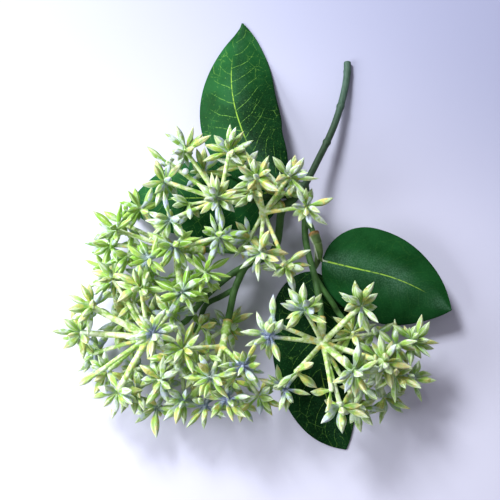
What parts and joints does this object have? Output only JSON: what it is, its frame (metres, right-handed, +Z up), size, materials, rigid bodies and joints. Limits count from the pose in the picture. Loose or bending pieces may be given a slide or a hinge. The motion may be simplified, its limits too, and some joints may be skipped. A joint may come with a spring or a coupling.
{
  "type": "artificial skimmia stem",
  "caption": "Cut spray laid flat: a forked green stem, broad pointed leaves on sleeve stalks, and open heads of pointed cream-green buds pushed onto pegs of the stem.",
  "frame": {"origin": "the middle of the spray's box in plan, on the surface that it lies on", "axes": "+Z up from the surface, +Y towards the cut end of the stem, +X to the right of it seen from above"},
  "size_m": [0.2359, 0.2743, 0.0663],
  "materials": {
    "stem": "satin moulded plastic with a dusty grey-green film, darker green on the branches",
    "leaf_stalk": "satin moulded plastic, lighter green with pale mould edges and an ochre mouth",
    "leaf": "coated cloth with a low satin sheen and printed yellow-green veins",
    "head": "matt soft plastic, green at the roots and cream at the tips, dabbed with white, lavender-blue and ochre paint"
  },
  "bodies": {
    "root": {"stem": "stem", "leaf_stalk_upper": "leaf_stalk", "leaf_stalk_lower": "leaf_stalk", "leaf_1": "leaf", "leaf_2": "leaf", "leaf_3": "leaf", "leaf_4": "leaf", "head_1": "head", "head_2": "head", "head_3": "head", "head_4": "head", "head_5": "head", "head_6": "head", "head_7": "head", "head_8": "head"}
  },
  "joints": []
}
